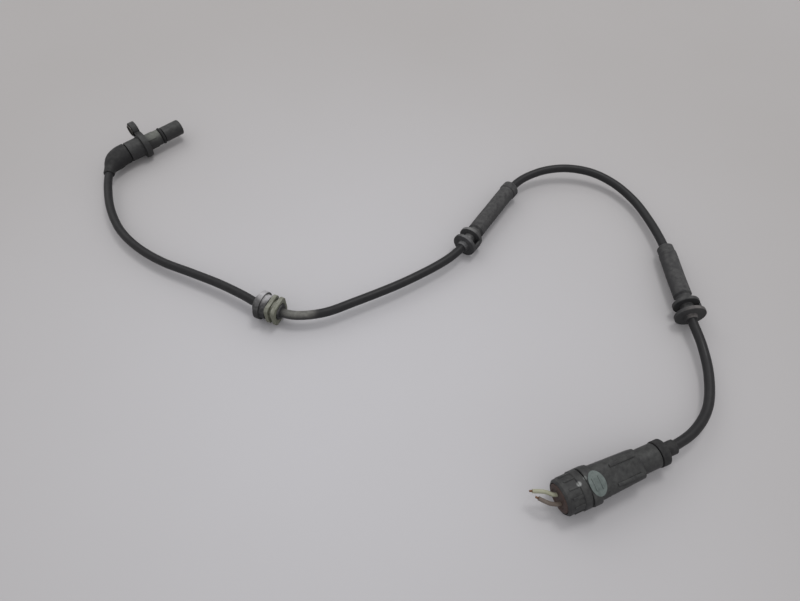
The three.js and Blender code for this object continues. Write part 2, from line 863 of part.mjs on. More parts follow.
function socketHousing() {
  const waist = socketRadius - socketWaist;
  const outside = turned([
    [socketStart, socketRadius - edge],
    [socketStart + edge, socketRadius],
    [socketStart + socketLipLength, socketRadius],
    [socketStart + socketLipLength + edge, waist],
    [socketEnd - socketTaper, waist],
    [socketEnd, waist - socketTaper],
  ]);
  const ribs = [];
  const [ribFront, ribBack] = socketRibEnds;
  for (let i = 0; i < socketRibs; i += 1) {
    const rise = socketRadius - socketWaist;
    const rib = bar(socketStart + ribFront, socketEnd - ribBack, socketRibWidth, socketWaist, 0, rise);
    ribs.push(rib.rotateY(((i + 0.5) * 2 * Math.PI) / socketRibs));
  }
  const cavityEnd = socketStart + socketCavityDepth;
  const cavity = rod(socketStart - overcut, cavityEnd, socketRadius - socketWall, roundSides);
  const sealPocket = rod(terminalBack, socketEnd + overcut, sealRadius + clearance, roundSides);
  const tower = rod(shellEnd + 2 * clearance, terminalBack, towerRadius, roundSides);
  const channels = [-1, 1].map((side) =>
    bar(
      shellEnd,
      socketEnd + overcut,
      terminalWidth + 2 * clearance,
      terminalHeight + 2 * clearance,
      side * pinOffset,
    ),
  );
  const shell = cut(join(outside, ...ribs), cavity, sealPocket);
  return cut(join(shell, tower), ...channels);
}

// A soft ring with three lips between the plug's nose and the socket's wall
function interfaceSeal() {
  const inner = plugNoseRadius + clearance;
  const outer = socketRadius - socketWall - clearance;
  const valley = THREE.MathUtils.lerp(inner, outer, valleyShare);
  const start = socketStart + interfaceSealInset;
  const pitch = interfaceSealLength / interfaceSealLips;
  const outline = [];
  for (let i = 0; i < interfaceSealLips; i += 1) {
    const from = start + i * pitch;
    outline.push([from, valley]);
    outline.push([from + lipShare * pitch, outer]);
    outline.push([from + (1 - lipShare) * pitch, outer]);
  }
  outline.push([start + interfaceSealLength, valley]);
  return turned(outline, inner);
}

function socketTerminal() {
  const box = bar(terminalFront, terminalBack - clearance, terminalWidth, terminalHeight);
  const slot = bar(
    terminalFront - overcut,
    terminalBack - clearance - terminalFloor,
    terminalWidth - 2 * terminalWall,
    terminalHeight - 2 * terminalWall,
  );
  return cut(box, slot);
}

// A harness wire from the back of its terminal to where it was cut
function wirePath(wire) {
  const across = wire.side * pinOffset;
  return new THREE.CatmullRomCurve3([
    new THREE.Vector3(across, terminalBack, 0),
    new THREE.Vector3(across, socketEnd + sealProud + clearance, 0),
    new THREE.Vector3(across + wire.bendAcross, socketEnd + wire.bendAlong, wireRise),
    new THREE.Vector3(across + wire.endAcross, socketEnd + wire.endAlong, wireRise),
  ]);
}

function wireStrands(wire) {
  const path = wirePath(wire);
  const end = path.getPointAt(1);
  const heading = path.getTangentAt(1);
  const turn = new THREE.Quaternion().setFromUnitVectors(new THREE.Vector3(0, 1, 0), heading);
  const strands = turned(
    [
      [clearance, strandRadius],
      [strandLength - edge, strandRadius],
      [strandLength, strandRadius - edge / 2],
    ],
    0,
    smallSides,
  );
  return strands.applyQuaternion(turn).translate(end.x, end.y, end.z);
}

function wireSeal() {
  const from = terminalBack + clearance;
  const seal = turned([
    [from, sealRadius - edge],
    [from + edge, sealRadius],
    [socketEnd, sealRadius],
    [socketEnd + sealProud, sealRadius - 2 * edge],
  ]);
  const holes = wires.map((wire) => tubeOn(wirePath(wire), wireRadius + clearance));
  return cut(seal, ...holes);
}

function buildConnector() {
  const frame = frameBetween(connectorIndex, connectorRoll);
  const place = (name, geometry, finish) => add(harness, name, geometry.applyMatrix4(frame), finish);
  place("plug_housing", plugHousing(), finishes.housing);
  place("lock_slide", lockSlide(), finishes.lock);
  place("interface_seal", interfaceSeal(), finishes.seal);
  place("socket_housing", socketHousing(), finishes.housing);
  place("wire_seal", wireSeal(), finishes.seal);
  add(harness, "cable_gland", cut(cableGland().applyMatrix4(frame), cableBore), finishes.rubber);
  const cableEnd = new THREE.Vector3(...route[connectorIndex])
    .distanceTo(new THREE.Vector3(...route[connectorIndex + 1]));
  for (const [index, wire] of wires.entries()) {
    const number = index + 1;
    const across = wire.side * pinOffset;
    const coreEnd = chamberEnd - coreTuck;
    const core = rod(cableEnd + clearance, coreEnd, coreRadius);
    place("plug_core_" + number, core.translate(across, 0, 0), finishes.core);
    const pin = bar(coreEnd + clearance, noseEnd - pinShort, pinWidth, pinThickness, across);
    place("plug_pin_" + number, pin, finishes.tin);
    const terminal = socketTerminal().translate(across, 0, 0);
    place("socket_terminal_" + number, terminal, finishes.tin);
    place(wire.name + "_wire", tubeOn(wirePath(wire), wireRadius), finishes[wire.name]);
    place(wire.name + "_wire_strands", wireStrands(wire), finishes.copper);
  }
}

buildHead();
add(harness, "cable", tubeOn(cableCurve, cableRadius, cableSteps), finishes.sheath);
clipPieces();
add(harness, "grommet_1", grommet(firstGrommet), finishes.rubber);
add(harness, "grommet_2", grommet(secondGrommet), finishes.rubber);
buildConnector();

// The origin is on the table under the middle of the head
const headBox = new THREE.Box3().setFromObject(head);
const middle = headBox.getCenter(new THREE.Vector3());
const sensor = new THREE.Group();
sensor.add(head, harness);
sensor.position.set(-middle.x, -middle.y, 0);

export default sensor;
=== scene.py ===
# Wheel speed sensor on a pale table: the looks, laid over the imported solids
# Shapes are worked out in millimetres from the flange's seat face, then turned to metres
import math
import random

import bmesh
import bpy
from mathutils import Matrix, Vector


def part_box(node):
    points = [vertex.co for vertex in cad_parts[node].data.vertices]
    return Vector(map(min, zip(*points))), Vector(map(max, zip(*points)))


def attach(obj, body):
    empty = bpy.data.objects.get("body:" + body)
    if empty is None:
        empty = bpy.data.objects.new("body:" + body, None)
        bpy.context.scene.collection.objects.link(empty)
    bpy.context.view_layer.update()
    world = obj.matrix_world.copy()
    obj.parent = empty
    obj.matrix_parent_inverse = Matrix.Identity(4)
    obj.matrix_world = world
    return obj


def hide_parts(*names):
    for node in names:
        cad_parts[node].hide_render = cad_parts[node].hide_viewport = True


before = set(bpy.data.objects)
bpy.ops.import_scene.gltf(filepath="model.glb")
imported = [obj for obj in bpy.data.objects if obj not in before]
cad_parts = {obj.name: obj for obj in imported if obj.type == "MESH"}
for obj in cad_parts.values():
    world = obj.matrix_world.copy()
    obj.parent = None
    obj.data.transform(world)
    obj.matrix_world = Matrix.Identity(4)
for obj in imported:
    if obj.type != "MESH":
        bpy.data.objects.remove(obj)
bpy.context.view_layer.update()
print("frame loaded")

# ---- places ----
# the probe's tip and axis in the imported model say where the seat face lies
probe = {"tip": 26.4, "axisHeight": 8.8, "barrelRadius": 5.2}
capLow, capHigh = (Vector(corner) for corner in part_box("probe_cap"))
shift = Vector((capHigh.x - probe["tip"] / 1000, (capLow.y + capHigh.y) / 2, 0))
toRow = Matrix.Translation(shift) @ Matrix.Scale(0.001, 4)
up = Vector((0, 0, 1))

# the gap that seated pieces keep, and the hole that the cable passes through
clearance = 0.3
cableBore = 2.75

clipHeight = 8.2
socketHeight = 9.5
cableStart = -6

# the cable's route as in the part's source, from the seat face and the probe's axis
routePoints = [
    (cableStart, 0, probe["axisHeight"]),
    (-13, 0, probe["axisHeight"]),
    (-19.5, -0.2, probe["axisHeight"]),
    (-25.4, -2.5, 8.6),
    (-30.7, -6.8, 8.4),
    (-35.4, -13.3, 8.1),
    (-40.7, -22.9, 7.7),
    (-47.1, -38.6, 7.1),
    (-50.9, -58, 6.6),
    (-49.7, -77.6, 6.4),
    (-44.4, -97.6, 6.6),
    (-35.7, -117.5, 7.1),
    (-27.8, -136.1, 7.7),
    (-22.3, -152.1, 8.1),
    (-19.2, -162.6, clipHeight),
    (-11.2, -179.7, clipHeight),
    (-5.9, -185.6, 8.1),
    (5.6, -193, 8),
    (22.1, -198.4, 8),
    (53.6, -206.8, 7.7),
    (82.1, -211.1, 7.5),
    (96, -210.5, 7.5),
    (126.5, -203.3, 7.5),
    (156.5, -196.4, 7.6),
    (168.8, -196.2, 8.1),
    (183.9, -201, 8.9),
    (196.4, -210, 9.2),
    (205.7, -222.8, 8.6),
    (209.8, -238, 7.3),
    (208, -255.4, 6.4),
    (200.5, -272.9, 6.6),
    (188.2, -292.1, 7.6),
    (171, -312.4, 8.4),
    (153.8, -333.6, 8.6),
    (144.4, -346.4, 7.6),
    (131.6, -358.9, 6.9),
    (114.8, -368.6, 7.4),
    (97.3, -371.2, 8.8),
    (80.1, -368.1, socketHeight),
    (66.9, -363.6, socketHeight),
]
route = [Vector(point) for point in routePoints]
clipIndex = 14
connectorIndex = 38


# each span of a centripetal spline as its end points and the tangents at them
def splineSpans(points):
    first = 2 * points[0] - points[1]
    last = 2 * points[-1] - points[-2]
    padded = [first, *points, last]
    spans = []
    for before, start, end, after in zip(padded, padded[1:], padded[2:], padded[3:]):
        stepIn = math.sqrt((start - before).length)
        step = math.sqrt((end - start).length)
        stepOut = math.sqrt((after - end).length)
        leave = (start - before) / stepIn - (end - before) / (stepIn + step) + (end - start) / step
        arrive = (end - start) / step - (after - start) / (step + stepOut) + (after - end) / stepOut
        spans.append((start, end, leave * step, arrive * step))
    return spans


def pointOn(span, share):
    start, end, leave, arrive = span
    square = 3 * (end - start) - 2 * leave - arrive
    cube = 2 * (start - end) + leave + arrive
    return start + leave * share + square * share**2 + cube * share**3


def headingOn(span, share):
    start, end, leave, arrive = span
    square = 3 * (end - start) - 2 * leave - arrive
    cube = 2 * (start - end) + leave + arrive
    return (leave + 2 * square * share + 3 * cube * share**2).normalized()


cableSpans = splineSpans(route)
samplesPerSpan = 40
cableLengths = [0.0]
for span in cableSpans:
    previous = span[0]
    for sample in range(1, samplesPerSpan + 1):
        place = pointOn(span, sample / samplesPerSpan)
        cableLengths.append(cableLengths[-1] + (place - previous).length)
        previous = place


def lengthToPoint(index):
    return cableLengths[index * samplesPerSpan]


def frameOf(start, along, roll=0.0):
    along = along.normalized()
    across = along.cross(up).normalized()
    rise = across.cross(along)
    turned = Matrix((across, along, rise)).transposed().to_4x4()
    turned.translation = start
    return turned @ Matrix.Rotation(roll, 4, "Y")


def frameAt(length):
    low, high = 0, len(cableLengths) - 1
    while high - low > 1:
        middle = (low + high) // 2
        if cableLengths[middle] <= length:
            low = middle
        else:
            high = middle
    share = (length - cableLengths[low]) / (cableLengths[high] - cableLengths[low])
    place = (low + min(max(share, 0.0), 1.0)) / samplesPerSpan
    index = min(int(place), len(cableSpans) - 1)
    span = cableSpans[index]
    return frameOf(pointOn(span, place - index), headingOn(span, place - index))


def frameBetween(index, roll=0.0):
    return frameOf(route[index], route[index + 1] - route[index], roll)


onProbe = Matrix.Translation((0, 0, probe["axisHeight"])) @ Matrix.Rotation(-math.pi / 2, 4, "Z")
atClip = frameBetween(clipIndex)
connectorRoll = math.radians(-16)
atConnector = frameBetween(connectorIndex, connectorRoll)

# ---- camera ----
# what the photograph's sizes and slopes say about where it was taken from
photo = {
    "width": 800,
    "focalPixels": 620,
    "tilt": 55,
    "distance": 362.6,
    "heading": 48.15,
    "aim": (45.97, -210.77, 0),
}
tilt = math.radians(photo["tilt"])
heading = math.radians(photo["heading"])
sight = Vector((math.cos(tilt) * math.cos(heading), math.cos(tilt) * math.sin(heading), -math.sin(tilt)))
cameraData = bpy.data.cameras.new("photoCamera")
cameraData.sensor_width = 36
cameraData.lens = cameraData.sensor_width * photo["focalPixels"] / photo["width"]
cameraData.clip_start = 0.01
camera = bpy.data.objects.new("photoCamera", cameraData)
camera.location = toRow @ (Vector(photo["aim"]) - photo["distance"] * sight)
camera.rotation_euler = sight.to_track_quat("-Z", "Y").to_euler()
bpy.context.scene.collection.objects.link(camera)
bpy.context.scene.camera = camera
print("camera placed")


# ---- materials ----
def tint(hexColour):
    values = [int(hexColour[i:i + 2], 16) / 255 for i in (1, 3, 5)]
    return [v / 12.92 if v <= 0.04045 else ((v + 0.055) / 1.055) ** 2.4 for v in values] + [1]


# adds a node with its settings; an input is a value or another node's output
def addNode(tree, kind, settings=None, inputs=None):
    node = tree.nodes.new(kind)
    for name, value in (settings or {}).items():
        setattr(node, name, value)
    for name, value in (inputs or {}).items():
        if isinstance(value, bpy.types.NodeSocket):
            tree.links.new(value, node.inputs[name])
        else:
            node.inputs[name].default_value = value
    return node


def perMillimetre(size):
    return 1000 / size


def newMaterial(name):
    material = bpy.data.materials.new(name)
    material.use_nodes = True
    tree = material.node_tree
    return material, tree, tree.nodes["Principled BSDF"]


def noise(tree, place, scale, detail, roughness=0.5):
    inputs = {"Vector": place, "Scale": scale, "Detail": detail, "Roughness": roughness}
    return addNode(tree, "ShaderNodeTexNoise", inputs=inputs).outputs["Fac"]


# a sum of products is clamped, as it is always a share
def calculated(tree, operation, *values):
    settings = {"operation": operation, "use_clamp": operation == "MULTIPLY_ADD"}
    return addNode(tree, "ShaderNodeMath", settings, dict(enumerate(values))).outputs[0]


# the values are the input, its low and high, and what these two become
def ranged(tree, *values, kind="LINEAR"):
    settings = {"interpolation_type": kind}
    return addNode(tree, "ShaderNodeMapRange", settings, dict(enumerate(values))).outputs[0]


def blended(tree, share, first, second):
    return addNode(tree, "ShaderNodeMix", {"data_type": "RGBA"}, {0: share, 6: first, 7: second}).outputs[2]


def distanceFrom(tree, place, point):
    inputs = {0: place, 1: toRow @ Vector(point)}
    return addNode(tree, "ShaderNodeVectorMath", {"operation": "DISTANCE"}, inputs).outputs["Value"]


def addBump(tree, surface, height, strength, depth):
    inputs = {"Height": height, "Strength": strength, "Distance": depth / 1000}
    bump = addNode(tree, "ShaderNodeBump", inputs=inputs)
    tree.links.new(bump.outputs["Normal"], surface.inputs["Normal"])


# sizes of the patterns in millimetres, and how far dust reaches down the sides
mouldedLook = {
    "cloud": 7,
    "fleck": 2.4,
    "fleckLow": 0.28,
    "fleckHigh": 0.78,
    "sideDust": 0.15,
    "smoother": 0.07,
    "rougher": 0.09,
    "dustRough": 0.35,
    "bump": 0.6,
    "patchCore": 0.4,
    "patchBreak": 1.5,
    "patchFloor": 0.05,
    "sheenRough": 0.4,
}


# a moulded or extruded surface: cloudy colour, pale dust that lies on top, fine grain
# patches are pale places on top, some of them dust and some painted highlights: a middle, a reach and how
# much of it covers
def moulded(
    name, colour, cloud, dust, roughness, grain, relief, dustShare, gloss=0.4, sheen=0.0, patches=()
):
    look = mouldedLook
    material, tree, surface = newMaterial(name)
    coordinates = addNode(tree, "ShaderNodeTexCoord")
    place = coordinates.outputs["Object"]
    clouds = noise(tree, place, perMillimetre(look["cloud"]), 5, 0.6)
    shown = blended(tree, clouds, tint(colour), tint(cloud))
    # dust keeps to faces that look up, and is broken into flecks
    facing = addNode(tree, "ShaderNodeSeparateXYZ", inputs={0: coordinates.outputs["Normal"]})
    topShare = ranged(tree, facing.outputs["Z"], 0.1, 0.95, look["sideDust"], 1.0, kind="SMOOTHSTEP")
    flecks = noise(tree, place, perMillimetre(look["fleck"]), 6, 0.6)
    fleckShare = ranged(tree, flecks, look["fleckLow"], look["fleckHigh"], 0.0, dustShare)
    dustMask = calculated(tree, "MULTIPLY", topShare, fleckShare)
    shown = blended(tree, dustMask, shown, tint(dust))
    # each patch lays its paler colour on the top faces: dust, and painted highlights
    for patch in patches:
        reach = patch["reach"] / 1000
        away = distanceFrom(tree, place, patch["middle"])
        near = ranged(tree, away, reach * look["patchCore"], reach, patch["share"], 0.0, kind="SMOOTHSTEP")
        broken = calculated(tree, "MULTIPLY_ADD", flecks, look["patchBreak"], look["patchFloor"])
        cover = calculated(tree, "MULTIPLY", near, calculated(tree, "MULTIPLY", topShare, broken))
        shown = blended(tree, cover, shown, tint(patch["colour"]))
    tree.links.new(shown, surface.inputs["Base Color"])
    rough = ranged(tree, clouds, 0.3, 0.7, roughness - look["smoother"], roughness + look["rougher"])
    dustyRough = calculated(tree, "MULTIPLY_ADD", dustMask, look["dustRough"], rough)
    tree.links.new(dustyRough, surface.inputs["Roughness"])
    addBump(tree, surface, noise(tree, place, perMillimetre(grain), 3), look["bump"], relief)
    surface.inputs["Specular IOR Level"].default_value = gloss
    if sheen:
        surface.inputs["Sheen Weight"].default_value = sheen
        surface.inputs["Sheen Roughness"].default_value = look["sheenRough"]
    return material


workedLook = {"stain": 1.6, "smoother": 0.1, "rougher": 0.12, "bump": 0.5}


# a worked metal: fine lines or pits in the gloss, faint stain in the colour
def worked(name, colour, stain, roughness, grain, relief, stretch=(1, 1, 1)):
    look = workedLook
    material, tree, surface = newMaterial(name)
    place = addNode(tree, "ShaderNodeTexCoord").outputs["Object"]
    stretched = addNode(tree, "ShaderNodeMapping", inputs={"Vector": place, "Scale": stretch})
    lines = noise(tree, stretched.outputs[0], perMillimetre(grain), 4)
    stains = noise(tree, place, perMillimetre(look["stain"]), 5)
    tree.links.new(blended(tree, stains, tint(colour), tint(stain)), surface.inputs["Base Color"])
    rough = ranged(tree, lines, 0.3, 0.7, roughness - look["smoother"], roughness + look["rougher"])
    tree.links.new(rough, surface.inputs["Roughness"])
    addBump(tree, surface, lines, look["bump"], relief)
    surface.inputs["Metallic"].default_value = 1
    return material


# glass-filled nylon, injection moulded: a dull black with a grey bloom of fibre and dust
# the probe's upper side is paler grey-green near the flange, and two small pale spots on top of the socket
# are painted highlights
nylonPaleAndHighlightPatches = [
    {"middle": (6.0, 0.7, 13), "reach": 8, "share": 0.45, "colour": "#85887e"},
    # two small pale spots on top of the socket: painted highlights
    {"middle": (29.9, -350.5, 18.8), "reach": 1.5, "share": 0.9, "colour": "#a9aba8"},
    {"middle": (34.1, -350.6, 18.9), "reach": 1.3, "share": 0.6, "colour": "#8d918e"},
]
glassNylon = moulded(
    "glassFilledNylon", "#1f1f20", "#29292a", "#777974", 0.48, 0.45, 0.03, 0.25, patches=nylonPaleAndHighlightPatches
)
# EPDM rubber, compression moulded: matt, with a soft pale film
epdm = moulded("epdmRubber", "#1a1a1b", "#232324", "#71706d", 0.68, 0.3, 0.03, 0.2, 0.3, 0.03)
# the same rubber on the grommets, which sit in the body's holes: greyer, with pale painted highlights on
# their tops
grommetHighlightPatches = [
    {"middle": (105, -206.7, 13), "reach": 7, "share": 0.55, "colour": "#8b8b8a"},
    {"middle": (96, -211, 13), "reach": 7, "share": 0.5, "colour": "#858586"},
    {"middle": (154.5, -333.5, 15), "reach": 8, "share": 0.45, "colour": "#7c7673"},
]
greyEpdmPaintedHighlights = moulded(
    "greyEpdmPaintedHighlights", "#2a2a2b", "#353536", "#8d8c89", 0.72, 0.3, 0.03, 0.26, 0.3, 0.05, patches=grommetHighlightPatches
)
# the same rubber with road dust on it, and its top painted pale as a highlight
bushDustAndHighlightPatches = [{"middle": (-13.2, -164.8, 16), "reach": 8, "share": 0.95, "colour": "#b7b5b6"}]
dustyEpdmPaintedHighlight = moulded(
    "dustyEpdmPaintedHighlight", "#1d1d1e", "#2a2a2b", "#a5a3a2", 0.74, 0.3, 0.03, 0.4, 0.3, 0.05, patches=bushDustAndHighlightPatches
)
# polyurethane sheath, extruded: satin black with a slow waviness; beside the clip its top is painted paler,
# for dust and a highlight
sheathDustAndHighlightPatches = [{"middle": (-5.9, -184.1, 9.8), "reach": 12, "share": 0.42, "colour": "#a5a49c"}]
sheathing = moulded(
    "polyurethaneSheath", "#171718", "#1f1f21", "#626160", 0.46, 0.9, 0.03, 0.08, 0.35, patches=sheathDustAndHighlightPatches
)
# acetal, injection moulded: dull olive grey, waxy
acetal = moulded("oliveAcetal", "#5a5b4e", "#67685a", "#bcbcb2", 0.55, 0.5, 0.03, 0.45)
# PBT, injection moulded: grey-green, finely textured
greenPbt = moulded("greyGreenPbt", "#4c5552", "#5a6461", "#8e9692", 0.5, 0.4, 0.03, 0.4)
# liquid silicone, moulded: soft brownish red
silicone = moulded("brownSilicone", "#372924", "#43332d", "#7d706a", 0.6, 0.35, 0.02, 0.25)
# cross-linked polyethylene insulation, extruded: satin, yellow and brown on the wires, white on the cores
yellowInsulation = moulded("paleYellowInsulation", "#91917a", "#9f9f88", "#b5b4a8", 0.5, 0.6, 0.015, 0.3)
brownInsulation = moulded("brownInsulation", "#5d524a", "#695e55", "#8c847d", 0.5, 0.6, 0.015, 0.3)
whiteInsulation = moulded("whiteInsulation", "#d9d6cc", "#e6e3da", "#d8d5cb", 0.5, 0.6, 0.015, 0.2)
# carrier plastic and chip resin, both hidden inside the probe
carrierPlastic = moulded("ivoryCarrier", "#cbc6b2", "#d6d2c2", "#d9d6cb", 0.55, 0.5, 0.02, 0.2)
chipResin = moulded("chipResin", "#1b1b1d", "#232325", "#4a4a4a", 0.45, 0.25, 0.02, 0.2)
# steel strip, rolled into a bush and zinc plated: grey, with fine drawn lines
zincSteel = worked("zincPlatedSteel", "#6f6e6b", "#4c4a46", 0.45, 0.25, 0.01, (8, 1, 1))
# copper strands, drawn: warm and a little tarnished
copper = worked("tarnishedCopper", "#9a7a62", "#7d6453", 0.45, 0.2, 0.005)
# tin-plated copper alloy, stamped: leads, crimps, pins and terminals, pale and soft in gloss
tinPlate = worked("tinPlate", "#c8c6bf", "#b2b0aa", 0.35, 0.3, 0.008)
# sintered magnet, nickel plated: darker grey, faintly pitted
magnetPlate = worked("nickelPlatedMagnet", "#8c8d8e", "#77787a", 0.4, 0.2, 0.01)
print("materials made")


# ---- shaping helpers ----
# carries geometry round the Y axis, and welds the ends when it goes all the way
def spun(bm, geometry, steps, degrees=360):
    whole = degrees == 360
    bmesh.ops.spin(
        bm,
        geom=geometry,
        cent=(0, 0, 0),
        axis=(0, 1, 0),
        dvec=(0, 0, 0),
        angle=math.radians(degrees),
        steps=steps,
        use_merge=whole,
        use_duplicate=False,
    )
    if whole:
        bmesh.ops.remove_doubles(bm, verts=bm.verts, dist=0.0005)
    else:
        bmesh.ops.holes_fill(bm, edges=[edge for edge in bm.edges if edge.is_boundary], sides=0)
    bmesh.ops.recalc_face_normals(bm, faces=bm.faces)
    return bm


# a line of edges through [radius, along] pairs, closed back to its start if asked
def outlined(bm, profile, closed):
    corners = [bm.verts.new((radius, along, 0)) for radius, along in profile]
    edges = [bm.edges.new(pair) for pair in zip(corners, corners[1:])]
    if closed:
        edges.append(bm.edges.new((corners[-1], corners[0])))
    return corners + edges


# a round solid about the Y axis from rising [along, radius] pairs; a bore makes it a tube
def turned(outline, boreRadius=0.0, sides=72):
    profile = [(radius, along) for along, radius in outline]
    if boreRadius:
        profile += [(boreRadius, outline[-1][0]), (boreRadius, outline[0][0])]
    else:
        profile = [(0, outline[0][0]), *profile, (0, outline[-1][0])]
    bm = bmesh.new()
    return spun(bm, outlined(bm, profile, bool(boreRadius)), sides)


# a flat shape across and up, carried along Y through sections of [along, share across, share up]
def lofted(shape, sections):
    bm = bmesh.new()
    along, wide, high = sections[0]
    cap = bm.faces.new([bm.verts.new((x * wide, along, z * high)) for x, z in shape])
    for nextAlong, nextWide, nextHigh in sections[1:]:
        grown = bmesh.ops.extrude_face_region(bm, geom=[cap])
        cap = next(item for item in grown["geom"] if isinstance(item, bmesh.types.BMFace))
        for corner in cap.verts:
            corner.co = (corner.co.x * nextWide / wide, nextAlong, corner.co.z * nextHigh / high)
        along, wide, high = nextAlong, nextWide, nextHigh
    bmesh.ops.recalc_face_normals(bm, faces=bm.faces)
    return bm


def block(fromY, toY, width, height, across=0.0, rise=0.0):
    bm = bmesh.new()
    size = Matrix.Diagonal((width, toY - fromY, height, 1))
    bmesh.ops.create_cube(bm, size=1, matrix=Matrix.Translation((across, (fromY + toY) / 2, rise)) @ size)
    return bm


# rounds every edge sharper than the angle
def softened(bm, width, segments=2, sharperThan=32):
    edges = [
        edge for edge in bm.edges
        if len(edge.link_faces) == 2 and edge.calc_face_angle(0) > math.radians(sharperThan)
    ]
    bmesh.ops.bevel(
        bm,
        geom=edges,
        offset=width,
        offset_type="OFFSET",
        affect="EDGES",
        segments=segments,
        profile=0.5,
        clamp_overlap=True,
        material=-1,
    )
    return bm


def moved(bm, matrix):
    bmesh.ops.transform(bm, matrix=matrix, verts=bm.verts)
    return bm


def bentAlongCable(bm):
    for vert in bm.verts:
        vert.co = frameAt(vert.co.y) @ Vector((vert.co.x, 0, vert.co.z))
    return bm


def joined(*parts):
    whole = bmesh.new()
    for part in parts:
        carrier = bpy.data.meshes.new("carrier")
        part.to_mesh(carrier)
        part.free()
        whole.from_mesh(carrier)
        bpy.data.meshes.remove(carrier)
    return whole


# adds points so that no stretch along the axis is longer than the step
def closerSpaced(outline, step):
    spaced = [outline[0]]
    for (fromY, fromRadius), (toY, toRadius) in zip(outline, outline[1:]):
        count = max(1, math.ceil(abs(toY - fromY) / step))
        for i in range(1, count + 1):
            share = i / count
            spaced.append((fromY + share * (toY - fromY), fromRadius + share * (toRadius - fromRadius)))
    return spaced


def arcPoints(centreX, centreZ, radius, fromDegrees, toDegrees, count):
    angles = [math.radians(fromDegrees + (toDegrees - fromDegrees) * i / count) for i in range(count + 1)]
    return [(centreX + radius * math.cos(a), centreZ + radius * math.sin(a)) for a in angles]


def roundedRectangle(halfWidth, halfHeight, corner, count=6):
    wide, high = halfWidth - corner, halfHeight - corner
    return (
        arcPoints(wide, -high, corner, -90, 0, count)
        + arcPoints(wide, high, corner, 0, 90, count)
        + arcPoints(-wide, high, corner, 90, 180, count)
        + arcPoints(-wide, -high, corner, 180, 270, count)
    )


# turns a bmesh into a finished piece in metres that rides with the part
def finishPiece(name, bm, material, slot, *nodes):
    moved(bm, toRow)
    for face in bm.faces:
        face.smooth = True
    for edge in bm.edges:
        edge.smooth = len(edge.link_faces) == 2 and edge.calc_face_angle(0) < math.radians(38)
    mesh = bpy.data.meshes.new(name)
    bm.to_mesh(mesh)
    bm.free()
    mesh.materials.append(material)
    piece = bpy.data.objects.new(name, mesh)
    bpy.context.scene.collection.objects.link(piece)
    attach(piece, "root")
    if nodes:
        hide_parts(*nodes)
    return piece


# a smooth open tube through the spans of a spline
def tubeThrough(name, spans, radius, material, slot, *nodes):
    curve = bpy.data.curves.new(name, "CURVE")
    curve.dimensions = "3D"
    curve.bevel_depth = radius / 1000
    curve.bevel_resolution = 6
    curve.resolution_u = 16
    curve.use_fill_caps = True
    spline = curve.splines.new("BEZIER")
    spline.bezier_points.add(len(spans))
    for index, point in enumerate(spline.bezier_points):
        start, _, leave, _ = spans[min(index, len(spans) - 1)]
        _, end, _, arrive = spans[max(index - 1, 0)]
        place = start if index < len(spans) else end
        point.handle_left_type = point.handle_right_type = "FREE"
        point.co = toRow @ place
        point.handle_left = toRow @ (place - (arrive if index else leave) / 3)
        point.handle_right = toRow @ (place + (leave if index < len(spans) else arrive) / 3)
    curve.materials.append(material)
    tube = bpy.data.objects.new(name, curve)
    bpy.context.scene.collection.objects.link(tube)
    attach(tube, "root")
    if nodes:
        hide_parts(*nodes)
    return tube


# ---- cable ----
cableLook = {"radius": 2.6, "firstPoint": 1, "exitPoint": 4}
shownSpans = cableSpans[cableLook["firstPoint"]:]
sensorCable = tubeThrough("sensorCable", shownSpans, cableLook["radius"], sheathing, "cable_sheath", "cable")
print("cable laid")

# ---- probe and flange ----
bodySizes = {
    "collarBack": -14,
    "spigotBack": -19,
    "spigotRadius": 4.6,
    "collarRadius": 6.7,
    "flangeBack": -4,
    "flangeRadius": 8.8,
    "ringGroove": 10.2,
    "ringRadius": 1.0,
    "noseRadius": 3.4,
    "nose": 16.2,
    "seamWidth": 0.16,
    "seamHeight": 0.1,
    "ribs": 4,
    "ribLength": 7,
    "ribHeight": 0.35,
    "ribWidth": 1.0,
}
earSizes = {
    "lean": 40,
    "boltDistance": 11.8,
    "bossRadius": 5.1,
    "bossHalfWidth": 4.6,
    "bore": 4.3,
    "plateBack": -4,
    "plateFront": -1,
    "filletStart": 4.6,
    "waist": 3,
    "waistRise": 7.9,
    "headRelief": 6.1,
    "overlap": 0.3,
    "edge": 0.35,
}
leaned = Matrix.Rotation(math.radians(earSizes["lean"] - 90), 4, "Y")
atBolt = leaned @ Matrix.Translation((0, 0, earSizes["boltDistance"]))


def bendThrough(start, middle, end, count):
    points = []
    for i in range(1, count):
        t = i / count
        points.append(tuple(
            (1 - t) ** 2 * a + 2 * t * (1 - t) * b + t**2 * c for a, b, c in zip(start, middle, end)
        ))
    return points


# the web between flange and boss, open where the boss stands
def earWeb():
    size = earSizes
    foot = math.sqrt(bodySizes["flangeRadius"] ** 2 - size["filletStart"] ** 2)
    shoulder = size["boltDistance"] - math.sqrt(size["bossRadius"] ** 2 - size["bossHalfWidth"] ** 2)
    inner = size["bossRadius"] - size["overlap"]
    reach = math.degrees(math.asin(size["bossHalfWidth"] / inner * 0.99))
    right = [(size["filletStart"], foot)]
    right += bendThrough(right[0], (size["waist"], size["waistRise"]), (size["bossHalfWidth"], shoulder), 8)
    under = arcPoints(0, size["boltDistance"], inner, -90 + reach, -90 - reach, 16)
    left = [(-x, z) for x, z in reversed(right)]
    web = lofted([(0, 0), *right, *under, *left], [(size["plateBack"], 1, 1), (size["plateFront"], 1, 1)])
    return softened(web, 0.3)


